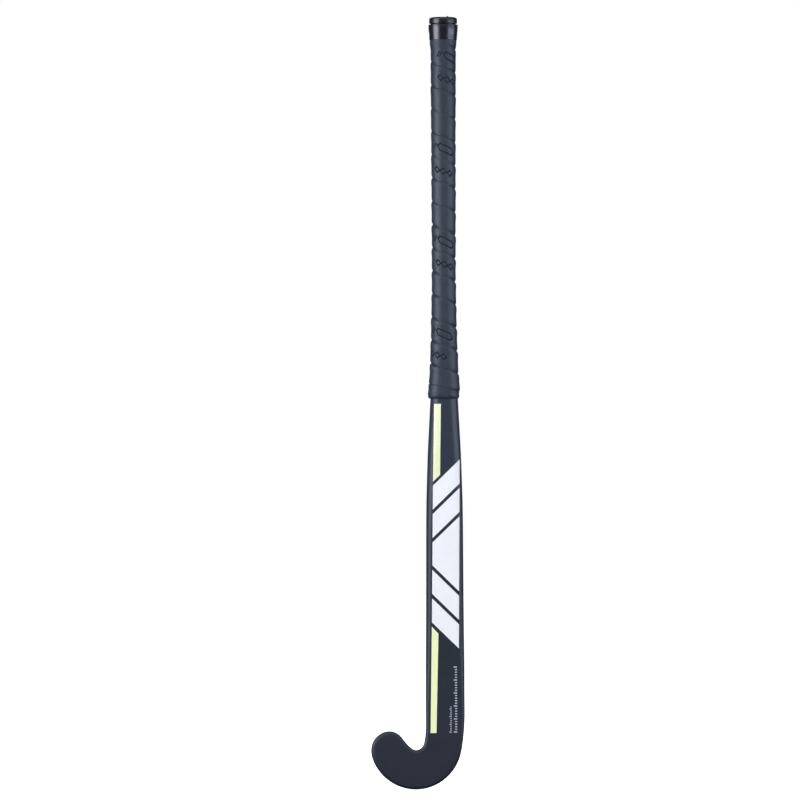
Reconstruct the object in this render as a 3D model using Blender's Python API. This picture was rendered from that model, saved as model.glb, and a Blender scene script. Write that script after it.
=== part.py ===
"""Field hockey stick, 36.5 inch composite, built up from its separate pieces.

Stick frame: Z up from the lowest point of the hook, X to the heel side, the
flat playing face towards -Y and the rounded back towards +Y.  The toe points
to -X.  Lengths below are in millimetres and are turned into metres when a
mesh is made.  The parent empty moves the middle of the grip to the world
origin.
"""
import math

import bmesh
import bpy
import numpy as np

MM = 0.001

# ---------------------------------------------------------------- dimensions
TOP = 926.7                # top of the butt cap above the base of the hook
SHELL_TOP = 917.0          # the laminate ends here, inside the cap
GRIP_MIDDLE = 683.0        # where a hand frame sits, on the handle's axis

# half width of the bare laminate at heights above the base
HALF_WIDTH = (
    (92, 23.4), (130, 23.25), (190, 22.8), (250, 22.4), (310, 22.2), (340, 21.9),
    (370, 21.1), (400, 20.1), (430, 18.6), (464, 16.8), (485, 15.9), (500, 15.0),
    (527, 13.9), (545, 13.2), (565, 12.8), (590, 12.4), (625, 12.1), (700, 12.1),
    (780, 12.2), (827, 12.5), (917, 12.5),
)
# front-to-back thickness of the bare laminate
THICKNESS = (
    (92, 23.0), (200, 22.8), (300, 23.4), (400, 24.4), (464, 25.0), (545, 25.0),
    (625, 24.4), (780, 24.4), (827, 25.0), (917, 25.0),
)
HEAD_THICKNESS = (23.0, 24.5, 24.0, 21.5, 20.0)   # at the five hook anchors
EDGE_RADIUS = (            # front edges: tight on the head, nearly round under the grip
    (92, 4.2), (120, 5.0), (160, 6.2), (220, 6.8), (300, 7.8), (360, 9.5), (400, 11.0),
    (440, 12.0), (500, 11.8), (600, 11.3), (917, 11.4),
)
HOOK_EDGE = 3.7            # front edge radius round the hook
CROWN = 2.2                # superellipse power of the rounded back
HEAD_RADIUS = 23.2         # largest disc that fits in the hook's plan

# side view: lean of the flat head, then the bow of the shaft, straight handle
HEAD_LEAN = 0.10           # mm forward per mm down, over the planar head
HEAD_FLAT_TO = 85.0
BOW = 20.0                 # greatest gap under a straight edge on the face
BOW_AT = 300.0
HANDLE_FROM = 560.0
HANDLE_LEAN = BOW / ((HANDLE_FROM - BOW_AT) / 2 + (TOP - HANDLE_FROM))

# plan of the hook, laid out as arcs: the sole and heel are one large arc, the
# toe is crowned by a smaller one and the crook is hollowed by a third
SOLE_AT, SOLE_RADIUS = (-35.5, 55.5), 55.5
TOE_AT, TOE_RADIUS = (-67.5, 50.5), 19.0
CROOK_AT, CROOK_RADIUS = (-35.5, 57.0), 10.0
NECK_HALF = 23.4           # half width where the hook meets the shaft
NECK_AT = 92.0
HEEL_BEARING, SOLE_BEARING, FLANK_BEARING = -15, -90, -150   # along the sole arc
TOE_BEARING, THROAT_BEARING = 120, 40                        # along the toe arc
SHAFT_REACH, FLANK_REACH, THROAT_REACH = 14.0, 17.0, 6.0


def on_arc(centre, radius, bearing):
    a = math.radians(bearing)
    return (centre[0] + radius * math.cos(a), centre[1] + radius * math.sin(a))


def arc_reach(radius, sweep):
    """Handle length that makes a cubic follow an arc of the given sweep."""
    return 4 / 3 * math.tan(math.radians(sweep) / 4) * radius


def hook_anchors():
    """Two edges of the hook: (point, heading in degrees, reach before, after)."""
    heel = arc_reach(SOLE_RADIUS, HEEL_BEARING - SOLE_BEARING)
    sole = arc_reach(SOLE_RADIUS, SOLE_BEARING - FLANK_BEARING)
    crook = arc_reach(CROOK_RADIUS, HEEL_BEARING - SOLE_BEARING)
    crown = arc_reach(TOE_RADIUS, TOE_BEARING - THROAT_BEARING)
    toe = on_arc(TOE_AT, TOE_RADIUS, TOE_BEARING)
    outer = (
        ((NECK_HALF, NECK_AT), -90, 0.0, SHAFT_REACH),
        (on_arc(SOLE_AT, SOLE_RADIUS, HEEL_BEARING), HEEL_BEARING - 90, SHAFT_REACH, heel),
        (on_arc(SOLE_AT, SOLE_RADIUS, SOLE_BEARING), 180, heel, sole),
        (on_arc(SOLE_AT, SOLE_RADIUS, FLANK_BEARING), FLANK_BEARING + 270, sole, FLANK_REACH),
        (toe, TOE_BEARING - 90, FLANK_REACH, 0.0),
    )
    inner = (
        ((-NECK_HALF, NECK_AT), -90, 0.0, SHAFT_REACH - 2.0),
        (on_arc(CROOK_AT, CROOK_RADIUS, HEEL_BEARING), HEEL_BEARING - 90, SHAFT_REACH - 2.0, crook),
        (on_arc(CROOK_AT, CROOK_RADIUS, SOLE_BEARING), 180, crook, THROAT_REACH),
        (on_arc(TOE_AT, TOE_RADIUS, THROAT_BEARING), THROAT_BEARING + 90, THROAT_REACH, crown),
        (toe, TOE_BEARING + 90, crown, 0.0),
    )
    return outer, inner


HEEL_AND_SOLE, CROOK_AND_TOE = hook_anchors()

# laminate wall and what it holds
SIDE_WALL = 2.9
FACE_WALL = 3.0
BACK_WALL = 2.4
GAP = 0.35                 # clearance between touching pieces
TUBE_WALL = 0.8
WEB = 1.6                  # resin web between the two inner tubes
FACE_PLIES = 1.2
TUBE_FOOT = 104.0          # the tubes stop above the head core
TUBE_HEAD = 866.0          # and below the handle plug

# grip: winding and radial build-up, as growth outside the bare laminate
GRIP_BOTTOM = 486.2
GRIP_TOP = 899.0
PITCH = 27.84
SEAM_AT = 699.5            # height of one seam on the middle of the face side
UNDERLAY = (GAP, 0.95)
TAPE_INNER = 0.95 + GAP
TAPE_OUTER = 2.4
TURN = 24                  # facets round the handle


# ------------------------------------------------------------------- shaping
def smooth_table(table, x):
    """Monotone cubic through a table of design stations."""
    xs = np.array([p[0] for p in table], float)
    ys = np.array([p[1] for p in table], float)
    h = np.diff(xs)
    d = np.diff(ys) / h
    m = np.zeros_like(ys)
    for i in range(1, len(ys) - 1):
        if d[i - 1] * d[i] > 0:
            m[i] = 2 * d[i - 1] * d[i] / (d[i - 1] + d[i])
    x = np.clip(x, xs[0], xs[-1])
    k = np.clip(np.searchsorted(xs, x) - 1, 0, len(h) - 1)
    t = (x - xs[k]) / h[k]
    return ((1 + 2 * t) * (1 - t) ** 2 * ys[k] + t * (1 - t) ** 2 * h[k] * m[k]
            + t * t * (3 - 2 * t) * ys[k + 1] + t * t * (t - 1) * h[k] * m[k + 1])


def half_width(z):
    return smooth_table(HALF_WIDTH, z)


def thickness(z):
    return smooth_table(THICKNESS, z)


def edge_radius(z):
    return smooth_table(EDGE_RADIUS, z)


def face_line(z):
    """Depth of the flat face at a height: planar head, bowed shaft, straight handle."""
    z = np.asarray(z, float)
    y0 = HEAD_LEAN * HEAD_FLAT_TO
    h = BOW_AT - HEAD_FLAT_TO
    t = np.clip((z - HEAD_FLAT_TO) / h, 0, 1)
    rise = (y0 * (1 + 2 * t) * (1 - t) ** 2 + HEAD_LEAN * h * t * (1 - t) ** 2
            + BOW * t * t * (3 - 2 * t))
    bend = BOW - HANDLE_LEAN * (z - BOW_AT) ** 2 / (2 * (HANDLE_FROM - BOW_AT))
    handle = BOW - HANDLE_LEAN * ((HANDLE_FROM - BOW_AT) / 2 + (z - HANDLE_FROM))
    return np.where(z < HEAD_FLAT_TO, HEAD_LEAN * z,
                    np.where(z < BOW_AT, rise, np.where(z < HANDLE_FROM, bend, handle)))


def hook_curve(anchors, k, t):
    """Point on panel k of one side of the hook."""
    (p0, a0, _, out), (p3, a3, back, _) = anchors[k], anchors[k + 1]
    p0, p3 = np.array(p0), np.array(p3)
    p1 = p0 + out * np.array([math.cos(math.radians(a0)), math.sin(math.radians(a0))])
    p2 = p3 - back * np.array([math.cos(math.radians(a3)), math.sin(math.radians(a3))])
    return (1 - t) ** 3 * p0 + 3 * t * (1 - t) ** 2 * p1 + 3 * t * t * (1 - t) * p2 + t ** 3 * p3


def hook_outline():
    """Closed run of plan points: down the heel side, round the hook, up the crook side."""
    ts = np.linspace(0, 1, 41)
    heel = [hook_curve(HEEL_AND_SOLE, k, t) for k in range(4) for t in ts]
    crook = [hook_curve(CROOK_AND_TOE, k, t) for k in range(4) for t in ts]
    top = [np.array([float(half_width(z)), z]) for z in (150.0, 130.0, 110.0)]
    left = [np.array([-p[0], p[1]]) for p in top]
    return np.array(top + heel + crook[::-1] + left[::-1])


OUTLINE = hook_outline()


def edge_distance(x, z):
    """Distance in plan from a point to the nearest edge of the stick."""
    if z >= 118.0:
        return float(half_width(z)) - abs(x)
    p = np.array([x, z])
    a, b = OUTLINE[:-1], OUTLINE[1:]
    ab = b - a
    length2 = np.maximum((ab ** 2).sum(1), 1e-12)
    t = np.clip(((p - a) * ab).sum(1) / length2, 0, 1)
    return float(np.sqrt((((a + t[:, None] * ab) - p) ** 2).sum(1)).min())


def front_depth(d, radius):
    """Depth behind the face plane of the rounded front edge, d from the edge."""
    d = min(max(d, 0.0), radius)
    return radius - math.sqrt(max(radius ** 2 - (radius - d) ** 2, 0.0))


def back_share(d, reach):
    q = 1 - min(max(d / reach, 0.0), 1.0)
    return (1 - q ** CROWN) ** (1 / CROWN)


# Each ruling crosses the stick in plan: heel-side end, crook-side end,
# thickness, edge radius and the reach of the rounded back.
def shaft_ruling(z):
    w = float(half_width(z))
    return (np.array([w, z]), np.array([-w, z]), float(thickness(z)),
            float(edge_radius(z)), w)


def hook_ruling(k, t):
    thick = HEAD_THICKNESS[k] + (HEAD_THICKNESS[k + 1] - HEAD_THICKNESS[k]) * t
    edge = HOOK_EDGE if k else EDGE_RADIUS[0][1] + (HOOK_EDGE - EDGE_RADIUS[0][1]) * t
    return (hook_curve(HEEL_AND_SOLE, k, t), hook_curve(CROOK_AND_TOE, k, t), thick,
            edge, HEAD_RADIUS)


def section(ruling, inset=0.0, front=0.0, back=0.0, corner=4, crown=10):
    """Ring of points round one ruling, inset from the laminate's outer surface."""
    a, b, thick, radius, reach = ruling
    span = np.linalg.norm(a - b)
    u = (a - b) / span
    mid = (a + b) / 2
    w = span / 2 - inset
    edge = max(radius - inset, 1.5)
    step = min(edge, 0.9 * w)
    ring = []

    def point(s, side):
        p = mid + s * u
        d = 0.0 if side == "edge" else edge_distance(p[0], p[1]) - inset
        d = max(d, 0.0)
        if side == "back":
            part = front + edge
            depth = part + (thick - back - part) * back_share(d, reach - inset)
        else:
            depth = front + front_depth(d, edge)
        ring.append((p[0], float(face_line(p[1])) + depth, p[1]))

    for i in range(corner + 1):
        ang = math.pi / 2 * i / corner
        point(-w + step * (1 - math.cos(ang)), "edge" if i == 0 else "front")
    for i in range(corner, -1, -1):
        ang = math.pi / 2 * i / corner
        point(w - step * (1 - math.cos(ang)), "edge" if i == 0 else "front")
    for i in range(1, crown):
        point(w * math.cos(math.pi * i / crown), "back")
    return ring


# ----------------------------------------------------------------- mesh tools
def material(name, colour, roughness, metallic=0.0):
    m = bpy.data.materials.new(name)
    m.use_nodes = True
    shader = m.node_tree.nodes["Principled BSDF"]
    shader.inputs["Base Color"].default_value = (*colour, 1.0)
    shader.inputs["Roughness"].default_value = roughness
    shader.inputs["Metallic"].default_value = metallic
    m.diffuse_color = (*colour, 1.0)
    return m


def finish(name, bm, mat, angle=35.0):
    bmesh.ops.remove_doubles(bm, verts=bm.verts, dist=1e-7)
    bmesh.ops.recalc_face_normals(bm, faces=bm.faces)
    if bm.calc_volume(signed=True) < 0:
        bmesh.ops.reverse_faces(bm, faces=bm.faces)
    mesh = bpy.data.meshes.new(name)
    bm.to_mesh(mesh)
    bm.free()
    mesh.shade_smooth()
    mesh.set_sharp_from_angle(angle=math.radians(angle))
    mesh.materials.append(mat)
    obj = bpy.data.objects.new(name, mesh)
    bpy.context.scene.collection.objects.link(obj)
    obj.parent = STICK
    return obj


def add_ring(bm, ring):
    return [bm.verts.new((x * MM, y * MM, z * MM)) for x, y, z in ring]


def bridge(bm, a, b):
    n = len(a)
    for i in range(n):
        bm.faces.new((a[i], a[(i + 1) % n], b[(i + 1) % n], b[i]))


def fan(bm, ring, tip):
    v = bm.verts.new(tuple(c * MM for c in tip))
    n = len(ring)
    for i in range(n):
        bm.faces.new((ring[i], ring[(i + 1) % n], v))


def loft(name, rings, mat, tip=None):
    """Closed body through rings, flat ends, or a point at the far end."""
    bm = bmesh.new()
    loops = [add_ring(bm, r) for r in rings]
    for a, b in zip(loops[:-1], loops[1:]):
        bridge(bm, a, b)
    bm.faces.new(loops[0])
    if tip is None:
        bm.faces.new(loops[-1])
    else:
        fan(bm, loops[-1], tip)
    return finish(name, bm, mat)


def pocket(name, outer, inner, mat, tip=None):
    """Body open at its first ring: outer skin, rim and inner skin."""
    bm = bmesh.new()
    out = [add_ring(bm, r) for r in outer]
    inn = [add_ring(bm, r) for r in inner]
    for loops in (out, inn):
        for a, b in zip(loops[:-1], loops[1:]):
            bridge(bm, a, b)
    bridge(bm, out[0], inn[0])
    bm.faces.new(inn[-1])
    if tip is None:
        bm.faces.new(out[-1])
    else:
        fan(bm, out[-1], tip)
    return finish(name, bm, mat)


def collar(name, profile, mat):
    """Sleeve round the handle from a closed (height, growth) profile."""
    bm = bmesh.new()
    loops = [add_ring(bm, wrap_ring(z, g)) for z, g in profile]
    for i, a in enumerate(loops):
        bridge(bm, a, loops[(i + 1) % len(loops)])
    return finish(name, bm, mat)


def wrap_point(theta, z, growth):
    """Point on the handle's section grown outwards, by angle round its middle.

    The angle runs from the middle of the face side towards the heel side.
    """
    w = float(half_width(z)) + growth
    thick = float(thickness(z)) + 2 * growth
    radius = float(edge_radius(z)) + growth
    mid = thick / 2
    sx, sy = math.sin(theta), -math.cos(theta)
    low, high = 0.0, 60.0
    for _ in range(40):
        r = (low + high) / 2
        x, depth = abs(r * sx), mid + r * sy
        if depth <= 0 or depth >= thick:
            inside = False
        elif depth < radius:
            inside = x < w - radius + math.sqrt(radius ** 2 - (radius - depth) ** 2)
        else:
            q = (depth - radius) / (thick - radius)
            inside = x < w * (1 - q ** CROWN) ** (1 / CROWN)
        low, high = (r, high) if inside else (low, r)
    return (low * sx, float(face_line(z)) - growth + mid + low * sy, z)


def wrap_ring(z, growth):
    return [wrap_point(2 * math.pi * i / TURN, z, growth) for i in range(TURN)]


# ------------------------------------------------------------------ the scene
for old in list(bpy.data.objects):
    bpy.data.objects.remove(old, do_unlink=True)

STICK = bpy.data.objects.new("field_hockey_stick", None)
bpy.context.scene.collection.objects.link(STICK)
AXIS_Y = float(face_line(GRIP_MIDDLE)) + float(thickness(GRIP_MIDDLE)) / 2
STICK.location = (0.0, -AXIS_Y * MM, -GRIP_MIDDLE * MM)

paint = material("graphite_lacquer", (0.026, 0.031, 0.040), 0.38)
carbon = material("inner_ply", (0.045, 0.045, 0.05), 0.55)
foam = material("core_foam", (0.62, 0.55, 0.38), 0.85)
aramid = material("face_plies", (0.55, 0.42, 0.10), 0.6)
plug_foam = material("plug_foam", (0.20, 0.20, 0.21), 0.85)
cap_rubber = material("cap_gloss_black", (0.010, 0.013, 0.018), 0.18)
pvc = material("pvc_tape_black", (0.011, 0.015, 0.021), 0.16)
base_foam = material("underlay_foam", (0.10, 0.10, 0.11), 0.8)
grip_pu = material("grip_graphite_pu", (0.045, 0.053, 0.074), 0.42)
end_pu = material("grip_end_pu", (0.045, 0.053, 0.074), 0.40)

# ---------------------------------------------------------- moulded laminate
SHAFT_STATIONS = (917, 870, 827, 780, 740, 700, 660, 625, 600, 580, 562, 545, 527, 512,
                  500, 492, 485, 475, 464, 447, 430, 415, 400, 385, 370, 355, 340, 320, 300, 280,
                  260, 240, 215, 190, 165, 140, 118, 104)
HOOK_STEPS = (0.0, 0.25, 0.5, 0.75)
TOE_STEPS = (0.0, 0.2, 0.38, 0.54, 0.67, 0.78, 0.87, 0.94, 0.98)

rulings = [shaft_ruling(z) for z in SHAFT_STATIONS]
rulings += [hook_ruling(0, t) for t in HOOK_STEPS]
rulings += [hook_ruling(1, t) for t in (0.0, 0.2, 0.4, 0.6, 0.8)]
rulings += [hook_ruling(2, t) for t in (0.0, 0.2, 0.4, 0.6, 0.8)]
rulings += [hook_ruling(3, t) for t in TOE_STEPS]
toe = CROOK_AND_TOE[-1][0]
toe_tip = (toe[0], float(face_line(toe[1])) + HOOK_EDGE, toe[1])

CAVITY_STATIONS = (917, 827, 780, 700, 625, 580, 545, 512, 485, 464, 430, 400, 370, 340,
                   300, 260, 215, 165, 118)
core_rulings = [hook_ruling(0, t) for t in (0.0, 0.35, 0.7)]
core_rulings += [hook_ruling(1, t) for t in (0.0, 0.25, 0.5, 0.75)]
core_rulings += [hook_ruling(2, t) for t in (0.0, 0.25, 0.5, 0.75)]
core_rulings += [hook_ruling(3, t) for t in (0.0, 0.18, 0.33)]
cavity = [shaft_ruling(z) for z in CAVITY_STATIONS] + core_rulings
cavity += [hook_ruling(3, 0.38)]


def bore(ruling, extra=0.0, face_extra=0.0):
    return section(ruling, SIDE_WALL + extra, FACE_WALL + extra + face_extra,
                   BACK_WALL + extra)


pocket("outer_laminate", [section(r, corner=6) for r in rulings],
       [section(r, SIDE_WALL, FACE_WALL, BACK_WALL, corner=6) for r in cavity],
       paint, tip=toe_tip)


# -------------------------------------------------------- inside the laminate
def inner_tube(name, side):
    """One of the two lay-up tubes; side is -1 for the toe side, +1 for the heel side."""
    outer, inner = [], []
    for z in (TUBE_HEAD,) + tuple(s for s in CAVITY_STATIONS if TUBE_FOOT < s < TUBE_HEAD) + (TUBE_FOOT,):
        a, b, thick, radius, reach = shaft_ruling(z)
        inset = SIDE_WALL + GAP
        w = reach - inset
        edge = max(radius - inset, 1.5)
        front = FACE_WALL + GAP
        back = BACK_WALL + GAP
        y = float(face_line(z))

        def ring(shrink):
            left, right = WEB / 2 + shrink, w - shrink
            pts = []
            lo, hi = front + shrink, thick - back - shrink
            part = front + edge
            arc = edge - shrink
            start = math.asin(min(max((left - (right - arc)) / arc, 0.0), 0.9))
            pts.append((left, lo + arc * (1 - math.cos(start))))
            for q in (0.12, 0.38, 0.7):
                ang = start + (math.pi / 2 - start) * q
                pts.append((right - arc * (1 - math.sin(ang)), lo + arc * (1 - math.cos(ang))))
            pts.append((right, part))
            for q in (0.8, 0.6, 0.4, 0.2):
                s = left + (right - left) * q
                rise = (1 - (s / right) ** CROWN) ** (1 / CROWN)
                pts.append((s, part + (hi - part) * rise))
            rise = (1 - (left / right) ** CROWN) ** (1 / CROWN)
            pts.append((left, part + (hi - part) * rise))
            return [(side * s, y + d, z) for s, d in pts]

        outer.append(ring(0.0))
        inner.append(ring(TUBE_WALL))
    a, b = outer[-2], outer[-1]
    floor = [tuple(p[i] for i in range(2)) + (TUBE_FOOT + 2.0,) for p in inner[-1]]
    inner[-1] = [(x, yy + float(face_line(TUBE_FOOT + 2.0)) - float(face_line(TUBE_FOOT)), zz)
                 for x, yy, zz in floor]
    return pocket(name, outer, inner, carbon)


inner_tube("inner_tube_toe_side", -1)
inner_tube("inner_tube_heel_side", 1)

loft("head_core",
     [section(r, SIDE_WALL + 4 * GAP, FACE_WALL + FACE_PLIES + 2 * GAP, BACK_WALL + 4 * GAP,
              corner=2, crown=8) for r in core_rulings], foam)


def plies_ring(ruling):
    """Flat band just behind the laminate's face wall."""
    a, b, _, _, _ = ruling
    span = np.linalg.norm(a - b)
    u, mid, w = (a - b) / span, (a + b) / 2, span / 2 - SIDE_WALL - 4.2
    ring = []
    for s, depth in ((-w, 0.0), (w, 0.0), (w, FACE_PLIES), (-w, FACE_PLIES)):
        p = mid + s * u
        ring.append((p[0], float(face_line(p[1])) + FACE_WALL + GAP + depth, p[1]))
    return ring


loft("head_face_plies", [plies_ring(r) for r in core_rulings[:-2]], aramid)

loft("handle_plug", [bore(shaft_ruling(z), 0.35) for z in (916.0, 890.0, TUBE_HEAD + 1.5)],
     plug_foam)

# ------------------------------------------------------------------- handle end
CAP = 4.3                  # growth of the cap's side
CAP_CORNER = 2.5
cap_profile = [
    (TOP, CAP - CAP_CORNER),
    (TOP - 0.29 * CAP_CORNER, CAP - 0.29 * CAP_CORNER),
    (TOP - CAP_CORNER, CAP),
    (919.0, CAP + 0.1),
    (918.2, CAP - 0.4),
    (917.6, CAP - 0.5),
    (917.3, 4.0),
    (GRIP_TOP + 0.6, 2.75),
    (GRIP_TOP - 0.6, 2.45),
    (889.0, 1.15),
    (889.0, GAP),
    (SHELL_TOP + 0.4, GAP),
]
bm = bmesh.new()
loops = [add_ring(bm, wrap_ring(z, g)) for z, g in cap_profile]
for a, b in zip(loops[:-1], loops[1:]):
    bridge(bm, a, b)
bm.faces.new(loops[0])
bm.faces.new(loops[-1])
finish("butt_cap", bm, cap_rubber)

collar("finishing_tape", [
    (917.2, 4.9), (916.6, 5.1), (909.0, 4.7), (GRIP_TOP + 0.9, 4.0), (GRIP_TOP + 0.4, 3.85),
    (GRIP_TOP + 0.4, 3.1), (917.2, 4.35)], pvc)

# ------------------------------------------------------------------------ grip
underlay_z = (888.6, 860, 827, 803, 780, 740, 700, 662, 625, 607, 590, 577, 565, 555, 545,
              536, 527, 513, 500, 492, GRIP_BOTTOM)
collar("grip_underlay",
       [(z, UNDERLAY[1]) for z in underlay_z] + [(z, UNDERLAY[0]) for z in underlay_z[::-1]],
       base_foam)


def tape_growth(z):
    """Outer growth of the tape: it climbs over the cap's skirt at the top."""
    t = min(max((z - 886.0) / (GRIP_TOP - 886.0), 0.0), 1.0)
    return TAPE_OUTER + 1.45 * t * t * (3 - 2 * t)


bm = bmesh.new()
SEAM_GAP = 0.3
theta = 0.0
first = math.ceil((SEAM_AT - GRIP_TOP) / PITCH * TURN) - TURN
facet = first
sections = []
while True:
    seam = SEAM_AT - PITCH * facet / TURN
    high = min(seam - SEAM_GAP, GRIP_TOP)
    low = max(seam - PITCH + SEAM_GAP, GRIP_BOTTOM + 0.2)
    if low < GRIP_TOP - 1.2 and high > GRIP_BOTTOM + 1.4:
        bevel = min(0.9, 0.3 * (high - low))
        ring = []
        for z, drop in ((high, None), (high, 0.3), (high - bevel, 0.0), (low + bevel, 0.0),
                        (low, 0.3), (low, None)):
            grow = tape_growth(z)
            g = grow - (TAPE_OUTER - TAPE_INNER) if drop is None else grow - drop
            ring.append(wrap_point(2 * math.pi * facet / TURN, z, g))
        sections.append(ring)
    elif sections:
        break
    facet += 1
loops = [add_ring(bm, r) for r in sections]
for a, b in zip(loops[:-1], loops[1:]):
    bridge(bm, a, b)
bm.faces.new(loops[0])
bm.faces.new(loops[-1])
finish("grip_tape", bm, grip_pu)

collar("grip_end_wrap", [
    (485.8, 2.3), (485.3, 2.6), (477.5, 2.5), (477.0, 2.35), (476.3, 2.35), (470.2, 1.95),
    (468.6, 1.5), (468.0, 1.0), (468.0, 0.45), (475.0, 0.4), (485.8, 0.4)], end_pu)


# ---------------------------------------------------------- markings on the face
def marking(name, corners, columns, rows, colour, roughness=0.35):
    """Thin film that follows the bowed face; corners are plan points, clockwise
    from the upper toe-side one."""
    tl, tr, br, bl = [np.array(c, float) for c in corners]
    lift, film = 0.38, 0.25
    mat = material(name + "_film", colour, roughness)
    bm = bmesh.new()
    grid = []
    for i in range(rows + 1):
        v = i / rows
        left, right = tl + (bl - tl) * v, tr + (br - tr) * v
        row = []
        for u in columns:
            x, z = left + (right - left) * u
            depth = front_depth(float(half_width(z)) - abs(x), float(edge_radius(z)))
            y = float(face_line(z)) + depth - lift
            row.append((bm.verts.new((x * MM, (y - film) * MM, z * MM)),
                        bm.verts.new((x * MM, y * MM, z * MM))))
        grid.append(row)
    n = len(columns) - 1
    for i in range(rows):
        for j in range(n):
            a, b, c, d = grid[i][j], grid[i][j + 1], grid[i + 1][j + 1], grid[i + 1][j]
            bm.faces.new((a[0], b[0], c[0], d[0]))
            bm.faces.new((a[1], d[1], c[1], b[1]))
    edge = ([(grid[0][j], grid[0][j + 1]) for j in range(n)]
            + [(grid[i][n], grid[i + 1][n]) for i in range(rows)]
            + [(grid[rows][j + 1], grid[rows][j]) for j in range(n - 1, -1, -1)]
            + [(grid[i + 1][0], grid[i][0]) for i in range(rows - 1, -1, -1)])
    for p, q in edge:
        bm.faces.new((p[0], p[1], q[1], q[0]))
    return finish(name, bm, mat, 60.0)


LIME = (0.80, 0.92, 0.54)
WHITE = (0.83, 0.88, 0.92)
marking("stripe_upper", ((-12.0, 462.4), (-4.1, 462.4), (-5.4, 377.0), (-13.8, 368.8)),
        (0, 0.5, 1), 6, LIME)
marking("stripe_lower", ((-15.8, 194.4), (-8.0, 186.0), (-10.7, 67.4), (-17.7, 67.4)),
        (0, 0.5, 1), 8, LIME)


def left_edge(z):
    return -13.9 - 1.8 * (364.0 - z) / 164.0


def right_edge(z):
    return 18.3 - 1.7 * (395.0 - z) / 226.0


MIDDLE = 282.0             # the five shapes mirror about this height
BAR = 28.8                 # height of a bar along its sides
SPACE = 5.4
RISE = 31.4                # the bars climb this much across the face
COLUMNS = (0, 0.3, 0.6, 0.78, 0.88, 0.95, 1)
CENTRE_TOE_SIDE, CENTRE_HEEL_SIDE = 13.7, 45.1


def bar_corners(order):
    """Bars above the middle climb to the heel side, those below fall to it."""
    sign = 1 if order > 0 else -1
    start = CENTRE_TOE_SIDE + SPACE + (abs(order) - 1) * (BAR + SPACE)
    lo, hi = MIDDLE + sign * start, MIDDLE + sign * (start + BAR)
    lo_h, hi_h = lo + sign * RISE, hi + sign * RISE
    if sign > 0:
        return ((left_edge(hi), hi), (right_edge(hi_h), hi_h),
                (right_edge(lo_h), lo_h), (left_edge(lo), lo))
    return ((left_edge(lo), lo), (right_edge(lo_h), lo_h),
            (right_edge(hi_h), hi_h), (left_edge(hi), hi))


for name, order in (("face_bar_1", 2), ("face_bar_2", 1), ("face_bar_4", -1),
                    ("face_bar_5", -2)):
    marking(name, bar_corners(order), COLUMNS, 2, WHITE)
t, h = CENTRE_TOE_SIDE, CENTRE_HEEL_SIDE
marking("face_bar_3", (
    (left_edge(MIDDLE + t), MIDDLE + t), (right_edge(MIDDLE + h), MIDDLE + h),
    (right_edge(MIDDLE - h), MIDDLE - h), (left_edge(MIDDLE - t), MIDDLE - t)),
    COLUMNS, 6, WHITE)

GREY = (0.62, 0.65, 0.68)
marking("tick_rule_short", ((4.6, 99.5), (7.8, 99.5), (7.8, 67.4), (4.6, 67.4)),
        (0, 1), 3, GREY)
marking("tick_rule_long", ((9.9, 149.0), (14.6, 149.0), (14.6, 67.4), (9.9, 67.4)),
        (0, 1), 6, GREY)
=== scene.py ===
"""Field hockey stick: surfaces, materials, studio light and camera."""
import math

import bmesh
import bpy
import numpy as np
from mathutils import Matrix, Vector, noise

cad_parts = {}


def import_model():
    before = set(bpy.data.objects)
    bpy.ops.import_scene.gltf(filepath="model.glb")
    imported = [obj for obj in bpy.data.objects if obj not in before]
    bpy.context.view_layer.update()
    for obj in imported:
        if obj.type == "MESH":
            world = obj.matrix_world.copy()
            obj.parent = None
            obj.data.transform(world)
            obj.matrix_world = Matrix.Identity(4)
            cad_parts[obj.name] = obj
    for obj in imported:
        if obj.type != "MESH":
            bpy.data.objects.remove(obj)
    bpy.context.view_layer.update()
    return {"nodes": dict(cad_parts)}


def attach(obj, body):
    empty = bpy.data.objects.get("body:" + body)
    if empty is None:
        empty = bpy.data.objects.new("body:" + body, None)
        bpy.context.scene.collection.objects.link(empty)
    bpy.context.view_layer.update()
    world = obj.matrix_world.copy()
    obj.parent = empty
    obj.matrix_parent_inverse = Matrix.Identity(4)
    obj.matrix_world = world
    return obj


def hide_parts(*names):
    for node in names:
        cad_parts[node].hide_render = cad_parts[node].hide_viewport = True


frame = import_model()

MM = 0.001

# ------------------------------------------------------------------ design
# Same stick frame as the CAD: millimetres, Z up from the base of the hook,
# flat face towards -Y, toe towards -X.
TOP = 926.7
SHELL_TOP = 917.0
GRIP_MIDDLE = 683.0
HALF_WIDTH = (
    (92, 23.4), (130, 23.25), (190, 22.8), (250, 22.4), (310, 22.2), (340, 21.9),
    (370, 21.1), (400, 20.1), (430, 18.6), (464, 16.8), (485, 15.9), (500, 15.0),
    (527, 13.9), (545, 13.2), (565, 12.8), (590, 12.4), (625, 12.1), (700, 12.1),
    (780, 12.2), (827, 12.5), (917, 12.5),
)
THICKNESS = (
    (92, 23.0), (200, 22.8), (300, 23.4), (400, 24.4), (464, 25.0), (545, 25.0),
    (625, 24.4), (780, 24.4), (827, 25.0), (917, 25.0),
)
HEAD_THICKNESS = (23.0, 24.5, 24.0, 21.5, 20.0)
EDGE_RADIUS = (
    (92, 4.2), (120, 5.0), (160, 6.2), (220, 6.8), (300, 7.8), (360, 9.5), (400, 11.0),
    (440, 12.0), (500, 11.8), (600, 11.3), (917, 11.4),
)
HOOK_EDGE = 3.7
CROWN = 2.2
HEAD_RADIUS = 23.2
HEAD_LEAN = 0.10
HEAD_FLAT_TO = 85.0
BOW = 20.0
BOW_AT = 300.0
HANDLE_FROM = 560.0
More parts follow.
